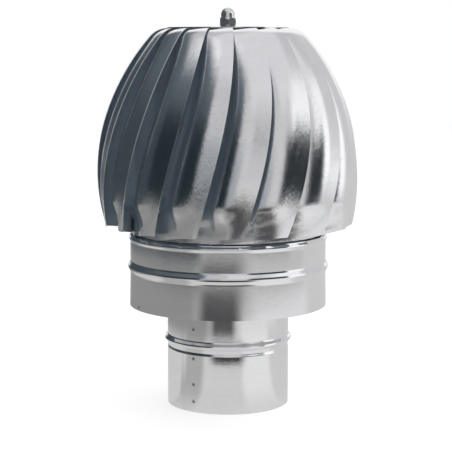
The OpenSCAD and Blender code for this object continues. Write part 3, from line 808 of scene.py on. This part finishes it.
class Vane:
    """One curved vane as a closed, smooth sheet."""

    def __init__(self, number: int, form: VaneForm, grid: VaneGrid) -> None:
        """Keeps the vane's sizes.

        Args:
            number: Place round the rotor, from 1.
            form: The vane's form.
            grid: How finely it is drawn.
        """
        self.number, self.form, self.grid = number, form, grid
        self.node = f"vane_{number:02d}"

    def faces_of_sheet(self) -> Tuple[np.ndarray, np.ndarray]:
        """Outer and inner points: the middle surface plus and minus half the sheet along its normal.

        The normal is the cross product of the slopes along and across, taken over a small step.

        Returns:
            Points of the outer and of the inner face, rows along the vane.
        """
        u, v = np.meshgrid(np.linspace(0.0, 1.0, self.grid.across), np.linspace(0.0, 1.0, self.grid.along))
        h = self.grid.step
        dv = self.form.middle(u, np.minimum(v + h, 1.0)) - self.form.middle(u, np.maximum(v - h, 0.0))
        du = self.form.middle(np.minimum(u + h, 1.0), v) - self.form.middle(np.maximum(u - h, 0.0), v)
        normal = np.cross(dv, du)
        normal /= np.linalg.norm(normal, axis=-1, keepdims=True)
        middle = self.form.middle(u, v)
        return middle + normal * self.form.sheet / 2.0, middle - normal * self.form.sheet / 2.0

    def build(self, turn: float) -> bpy.types.Object:
        """Makes the vane's mesh, with a UV map in metres along its sheet.

        Args:
            turn: Angle of the vane round the rotor.

        Returns:
            The vane.
        """
        rows, cols = self.grid.along, self.grid.across
        outer, inner = self.faces_of_sheet()
        c, s = math.cos(math.radians(turn)), math.sin(math.radians(turn))
        points = np.concatenate([outer.reshape(-1, 3), inner.reshape(-1, 3)])
        points = points @ np.array([[c, s, 0.0], [-s, c, 0.0], [0.0, 0.0, 1.0]])
        index = np.arange(rows * cols).reshape(rows, cols)
        quads = np.stack([index[:-1, :-1], index[1:, :-1], index[1:, 1:], index[:-1, 1:]], axis=-1)
        quads = quads.reshape(-1, 4)
        rim = np.concatenate([index[0, :-1], index[:-1, -1], index[-1, :0:-1], index[:0:-1, 0]])
        after = np.roll(rim, -1)
        far = rows * cols
        edge = np.stack([rim, after, after + far, rim + far], axis=-1)
        faces = np.concatenate([quads, quads[:, ::-1] + far, edge])
        across = np.linspace(0.0, self.grid.flat_width, cols)[None, :].repeat(rows, 0)
        along = np.linspace(0.0, self.form.path_len, rows)[:, None].repeat(cols, 1)
        flat = np.stack([across, along], axis=-1).reshape(-1, 2)
        flat = flat + self.number * np.array([self.grid.flat_gap, 0.0])
        piece = sheet_object(f"vane_sheet_{self.number:02d}", points, faces, np.concatenate([flat, flat]))
        side = np.zeros(len(faces), dtype=np.int32)
        side[len(quads):2 * len(quads)] = 1
        piece.data.polygons.foreach_set("material_index", side)
        return piece


def sheet_object(name: str, points: np.ndarray, faces: np.ndarray, flat: np.ndarray) -> bpy.types.Object:
    """Makes a smooth mesh object with a UV map.

    Args:
        name: Name of the piece.
        points: Its vertices.
        faces: Its faces, as four vertex indices each.
        flat: UV place of each vertex.

    Returns:
        The new object.
    """
    mesh = bpy.data.meshes.new(name)
    mesh.vertices.add(len(points))
    mesh.vertices.foreach_set("co", points.astype(np.float32).ravel())
    mesh.loops.add(faces.size)
    mesh.loops.foreach_set("vertex_index", faces.astype(np.int32).ravel())
    mesh.polygons.add(len(faces))
    mesh.polygons.foreach_set("loop_start", np.arange(0, faces.size, faces.shape[1], dtype=np.int32))
    layer = mesh.uv_layers.new(name="sheet")
    layer.data.foreach_set("uv", flat[faces.ravel()].astype(np.float32).ravel())
    mesh.update(calc_edges=True)
    mesh.validate()
    mesh.shade_smooth()
    mesh.set_sharp_from_angle(angle=SHARP_EDGE)
    piece = bpy.data.objects.new(name, mesh)
    bpy.context.scene.collection.objects.link(piece)
    return piece


def dress(effects: Effects, finish: Union[SheetFinish, TurnedFinish, RubberFinish], *nodes: str) -> None:
    """Gives CAD nodes a finish.

    Args:
        effects: The shared node groups.
        finish: The finish.
        nodes: Names of the nodes.
    """
    material = finish.build(effects)
    for name in nodes:
        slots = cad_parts[name].data.materials
        slots.clear()
        slots.append(material)
        LOG.info("%s: %s", name, material.name)


# Sub-assemblies


@dataclass
class RotorHead:
    """The turning head: 18 vanes between a ring and a disc, clamped to the shaft."""

    effects: Effects
    count: int = 18
    form: VaneForm = field(default_factory=VaneForm)
    grid: VaneGrid = field(default_factory=VaneGrid)

    def vanes(self) -> None:
        """Builds the vanes, bright outside, and inside dull with a pale blue painted reflection, which
        stand for the CAD vanes.
        """
        skin = SheetFinish("vane_skin", coords=Coords.SHEET, crystal=0.0013, contrast=0.5,
                           tilt=0.04, bump_depth=0.00003).build(self.effects)
        # Inner face: duller, less metallic zinc, whose pale blue colour is a painted reflection of light
        # mirrored into the slots.
        back = SheetFinish("vane_back_painted_reflection", light=(0.6, 0.71, 0.79), dark=(0.5, 0.61, 0.69),
                           coords=Coords.SHEET, crystal=0.0024, metal=0.1,
                           roughness=0.32).build(self.effects)
        for number in range(1, self.count + 1):
            vane = Vane(number, self.form, self.grid)
            piece = vane.build(360.0 / self.count * (number - 1))
            piece.data.materials.append(skin)
            piece.data.materials.append(back)
            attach(piece, Body.ROTOR.value)
            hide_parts(vane.node)
            LOG.info("%s: %d faces", piece.name, len(piece.data.polygons))

    def fittings(self) -> None:
        """Dresses the ring, the disc, the hub, the nuts and the shaft."""
        dress(self.effects, SheetFinish("ring_skin", crystal=0.004), "bottom_ring", "top_disc")
        dress(self.effects, TurnedFinish("nut_zinc", (0.94, 0.94, 0.94), (0.84, 0.84, 0.84), metal=0.8,
                                         roughness=0.12, bump_depth=0.000008), "cap_nut")
        dress(self.effects, RubberFinish("washer_rubber"), "seal_washer")
        dress(self.effects, TurnedFinish("hub_aluminium", (0.8, 0.81, 0.82), (0.62, 0.63, 0.64)),
              "clamp_hub")
        dress(self.effects, TurnedFinish("shaft_zinc", (0.74, 0.75, 0.72), (0.55, 0.56, 0.54),
                                         roughness=0.26),
              "rotor_shaft", "lock_nut", "inner_spacer", "shaft_clip")


@dataclass
class FluePipe:
    """The still sheet parts: spigot, reducer and collar, with their lap seams and spot welds."""

    effects: Effects
    pipe_wall: float = 62.5 * MM
    collar_wall: float = 100.5 * MM
    seam_angle: float = -33.7
    lap_edge: float = -45.7
    seam_heights: Tuple[float, ...] = (84.6 * MM, 55.0 * MM, 28.4 * MM, 10.9 * MM)
    mark_angle: float = -62.0
    mark_height: float = 106.5 * MM

    def dress(self) -> None:
        """Dresses the three sheet parts."""
        welds = tuple(Weld(self.seam_angle, z, self.pipe_wall) for z in self.seam_heights)
        dress(self.effects, SheetFinish("pipe_zinc", crystal=0.002, contrast=0.3, tilt=0.004, metal=0.95,
                                        roughness=0.055, rough_spread=0.04, bump_depth=0.000006,
                                        smudge=0.3, welds=welds, lap_angle=self.lap_edge), "flue_spigot")
        mark = Weld(self.mark_angle, self.mark_height, self.collar_wall)
        dress(self.effects, SheetFinish("collar_zinc", crystal=0.0016, contrast=0.25, tilt=0.004,
                                        metal=0.93, roughness=0.07, rough_spread=0.05,
                                        bump_depth=0.000006, smudge=0.3, welds=(mark,)), "collar")
        dress(self.effects, SheetFinish("reducer_zinc", crystal=0.005), "reducer")


@dataclass
class BearingUnit:
    """The inner stand: spider, housing, bearings, clips, spacers, screws and the slinger."""

    effects: Effects

    def dress(self) -> None:
        """Dresses every piece of the bearing stand."""
        dress(self.effects, SheetFinish("spider_zinc", crystal=0.006, contrast=0.8, roughness=0.28,
                                        edge_width=0.0012), "bearing_spider")
        dress(self.effects, TurnedFinish("housing_aluminium", (0.78, 0.79, 0.8), (0.6, 0.61, 0.62),
                                         roughness=0.3), "bearing_housing", "rain_slinger")
        dress(self.effects, TurnedFinish("race_steel", (0.8, 0.8, 0.82), (0.66, 0.66, 0.69),
                                         roughness=0.12, pitch=0.0004, bump_depth=0.000006),
              "lower_bearing_outer", "lower_bearing_inner", "upper_bearing_outer", "upper_bearing_inner",
              "lower_bearing_balls", "upper_bearing_balls")
        dress(self.effects, TurnedFinish("screw_zinc", (0.72, 0.73, 0.68), (0.52, 0.53, 0.5),
                                         roughness=0.3),
              "foot_bolts", "foot_nuts", "outer_spacer", "housing_clip")


# Studio


@dataclass(frozen=True)
class Camera:
    """The photograph's camera, in millimetres and pixels of the photograph."""

    distance: float = 1450.0
    height: float = 373.2
    tilt_rad: float = 0.1307
    focal_px: float = 1421.1
    centre_px: float = 227.9
    sensor: float = 36.0
    reach_m: float = 30.0

    def build(self) -> None:
        """Makes the camera and sets it as the scene's."""
        data = bpy.data.cameras.new("camera")
        data.sensor_width = self.sensor
        data.lens = self.focal_px / IMAGE_PX * self.sensor
        data.shift_x = (IMAGE_PX / 2.0 - self.centre_px) / IMAGE_PX
        data.clip_end = self.reach_m
        camera = bpy.data.objects.new("camera", data)
        camera.location = (0.0, -self.distance * MM, self.height * MM)
        camera.rotation_euler = (math.pi / 2.0 - self.tilt_rad, 0.0, 0.0)
        bpy.context.scene.collection.objects.link(camera)
        bpy.context.scene.camera = camera


@dataclass(frozen=True)
class Shade:
    """One part of the room or the floor: a window with soft borders and one colour.

    Turns are degrees round the axis. Rises are degrees over level in the room, and metres from the axis
    on the floor.
    """

    turn_low: float
    turn_high: float
    rise_low: float
    rise_high: float
    soft_turn: float
    soft_rise: float
    colour: Colour

    def over(self, w: Wiring, turn: Link, rise: Link, colour: Link) -> bpy.types.NodeSocket:
        """Lays the window over what is there.

        Args:
            w: Wiring to add to.
            turn: Angle round the axis.
            rise: Angle over level, or distance from the axis.
            colour: Colour so far.

        Returns:
            The colour with the window laid over it.
        """
        middle, half = (self.turn_low + self.turn_high) / 2.0, (self.turn_high - self.turn_low) / 2.0
        around = w.math("ABSOLUTE", w.math("WRAP", w.math("SUBTRACT", turn, middle), 180.0, -180.0))
        side = w.remap(around, half - self.soft_turn, half + self.soft_turn, 1.0, 0.0)
        under = w.remap(rise, self.rise_low - self.soft_rise, self.rise_low + self.soft_rise)
        top = w.remap(rise, self.rise_high - self.soft_rise, self.rise_high + self.soft_rise, 1.0, 0.0)
        return w.mix(w.math("MULTIPLY", w.math("MULTIPLY", side, under), top), colour, self.colour)


# The room as light: dull and dark on the left, a dark part with bright borders on the right.
ROOM = (
    Shade(-158.0, -31.0, -90.0, 52.0, 5.0, 6.0, (0.1, 0.125, 0.145)),
    Shade(-150.0, -31.0, -90.0, 28.0, 5.0, 14.0, (0.045, 0.06, 0.072)),
    Shade(-82.0, -31.0, -90.0, 30.0, 8.0, 10.0, (0.014, 0.024, 0.03)),
    Shade(-31.0, -8.0, -90.0, 20.0, 5.0, 8.0, (0.4, 0.42, 0.45)),
    Shade(24.0, 73.0, -90.0, 25.0, 5.0, 5.0, (0.022, 0.028, 0.033)),
    Shade(73.0, 98.0, -90.0, 36.0, 3.0, 8.0, (1.12, 1.12, 1.14)),
    Shade(42.0, 98.0, 23.0, 40.0, 8.0, 5.0, (1.0, 1.0, 1.02)),
    Shade(150.0, 202.0, -90.0, 60.0, 6.0, 10.0, (1.0, 1.0, 1.0)),
    Shade(-90.0, -40.0, 58.0, 69.0, 10.0, 3.0, (0.86, 0.86, 0.88)),
)
FAR = 99.0

# How far from the axis the room's first five parts start to show in the floor, and their soft border.
FLOOR_STARTS = (1.2, 1.2, 1.2, 1.4, 1.3)
FLOOR_SOFT = 0.18

# The floor as the metal mirrors it: a map that glows only in reflections, painting reflected dark and light
# parts on the metal. The last three parts are painted dark reflections at the front: on the spigot below
# its bead, on the spigot above it, and on the collar's skirt.
PAINTED_GROUND_REFLECTIONS = (
    Shade(-78.0, -42.0, 0.1, 0.5, 6.0, 0.08, (0.44, 0.438, 0.43)),
    Shade(24.0, 76.0, 0.1, 0.5, 6.0, 0.08, (0.84, 0.84, 0.84)),
    Shade(-158.0, -31.0, 0.4, FAR, 12.0, 0.08, (0.29, 0.289, 0.284)),
    Shade(26.0, 98.0, 0.5, FAR, 8.0, 0.1, (0.8, 0.8, 0.81)),
    Shade(-31.0, 26.0, 0.86, 1.35, 14.0, 0.2, (0.34, 0.338, 0.334)),
    Shade(26.0, 98.0, 0.92, 1.35, 12.0, 0.14, (0.55, 0.548, 0.545)),
    Shade(-28.0, 26.0, 0.286, 0.39, 10.0, 0.024, (0.01, 0.01, 0.011)),
    Shade(-29.0, 12.0, 0.43, 0.8, 8.0, 0.035, (0.08, 0.08, 0.083)),
    Shade(-30.0, 12.0, 0.68, 1.08, 8.0, 0.16, (0.05, 0.05, 0.052)),
)


@dataclass
class Studio:
    """Floor, lamp, world and camera."""

    floor_half: float = 4.0
    paper: Colour = (0.7, 0.7, 0.7)
    paper_roughness: float = 0.9
    glow: float = 0.7
    floor_front: Colour = (0.68, 0.678, 0.675)
    floor_back: Colour = (0.64, 0.638, 0.635)
    floor_turns: Tuple[float, float] = (30.0, 150.0)
    room_low: Colour = (0.63, 0.625, 0.64)
    room_high: Colour = (0.56, 0.555, 0.58)
    room_rises: Tuple[float, float] = (20.0, 60.0)
    lamp_place: Point = (0.5, -0.6, 2.4)
    lamp_aim: Point = (0.0, 0.0, 0.2)
    lamp_size: float = 2.6
    lamp_power: float = 3.5

    def world(self) -> None:
        """Room as light: pale all round, with darker and brighter parts; white where the camera looks."""
        world = bpy.data.worlds.new("room")
        bpy.context.scene.world = world
        world.use_nodes = True
        world.node_tree.nodes.clear()
        w = Wiring(world.node_tree)
        way = w.add("SeparateXYZ", {"Vector": w.add("TexCoord").outputs["Generated"]})
        x, y, z = (way.outputs[k] for k in "XYZ")
        turn = w.turn(x, y)
        rise = w.math("DEGREES", w.math("ARCSINE", z))
        colour = w.mix(w.remap(rise, *self.room_rises), self.room_low, self.room_high)
        for part in ROOM:
            colour = part.over(w, turn, rise, colour)
        path = w.add("LightPath")
        seen = w.mix(path.outputs["Is Camera Ray"], colour, (1.0, 1.0, 1.0))
        back = w.add("Background", {"Color": seen, "Strength": 1.0})
        w.add("OutputWorld", {"Surface": back.outputs["Background"]})

    def floor(self) -> None:
        """Pale floor: white to the camera apart from a soft shadow; in reflections it glows with a map that
        paints reflections on the metal.
        """
        h = self.floor_half
        mesh = bpy.data.meshes.new("floor")
        mesh.from_pydata([(-h, -h, 0.0), (h, -h, 0.0), (h, h, 0.0), (-h, h, 0.0)], [], [(0, 1, 2, 3)])
        plane = bpy.data.objects.new("floor", mesh)
        bpy.context.scene.collection.objects.link(plane)
        material = bpy.data.materials.new("pale_floor")
        material.use_nodes = True
        material.node_tree.nodes.clear()
        w = Wiring(material.node_tree)
        place = w.add("SeparateXYZ", {"Vector": w.add("TexCoord").outputs["Object"]})
        x, y = place.outputs["X"], place.outputs["Y"]
        turn = w.turn(x, y)
        away = w.math("SQRT", w.math("ADD", w.math("MULTIPLY", x, x), w.math("MULTIPLY", y, y)))
        aside = w.remap(w.math("ABSOLUTE", turn), *self.floor_turns)
        metal = w.mix(aside, self.floor_front, self.floor_back)
        for part in PAINTED_GROUND_REFLECTIONS:
            metal = part.over(w, turn, away, metal)
        for part, start in zip(ROOM, FLOOR_STARTS):
            far = Shade(part.turn_low, part.turn_high, start, FAR, part.soft_turn, FLOOR_SOFT, part.colour)
            metal = far.over(w, turn, away, metal)
        path = w.add("LightPath")
        paper = w.add("BsdfPrincipled", {"Base Color": (*self.paper, 1.0),
                                         "Roughness": self.paper_roughness})
        glow = w.add("Emission", {"Strength": w.math("MULTIPLY", path.outputs["Is Camera Ray"], self.glow)})
        both = w.add("AddShader", {0: paper.outputs["BSDF"], 1: glow.outputs["Emission"]})
        # Painted reflections: to glossy rays the floor glows with the map, though it is no lamp.
        painted_reflection_glow = w.add("Emission", {"Color": metal, "Strength": 1.0})
        last = w.add("MixShader", {0: path.outputs["Is Glossy Ray"], 1: both.outputs["Shader"],
                                   2: painted_reflection_glow.outputs["Emission"]})
        w.add("OutputMaterial", {"Surface": last.outputs["Shader"]})
        mesh.materials.append(material)

    def lamp(self) -> None:
        """Adds a square soft lamp overhead, its power in watts."""
        data = bpy.data.lights.new("overhead", "AREA")
        data.size, data.energy = self.lamp_size, self.lamp_power
        lamp = bpy.data.objects.new("overhead", data)
        lamp.location = self.lamp_place
        way = np.array(self.lamp_aim) - np.array(self.lamp_place)
        flat = math.hypot(way[0], way[1])
        lamp.rotation_euler = (math.atan2(flat, -way[2]), 0.0, math.atan2(way[1], way[0]) - math.pi / 2.0)
        bpy.context.scene.collection.objects.link(lamp)

    def build(self) -> None:
        """Builds the whole studio."""
        Camera().build()
        self.world()
        self.floor()
        self.lamp()
        bpy.context.scene.view_settings.view_transform = "Standard"


def main() -> None:
    """Builds the studio, and builds and dresses the cowl."""
    Studio().build()
    effects = Effects()
    head = RotorHead(effects)
    head.vanes()
    head.fittings()
    FluePipe(effects).dress()
    BearingUnit(effects).dress()


if __name__ == "__main__":
    main()
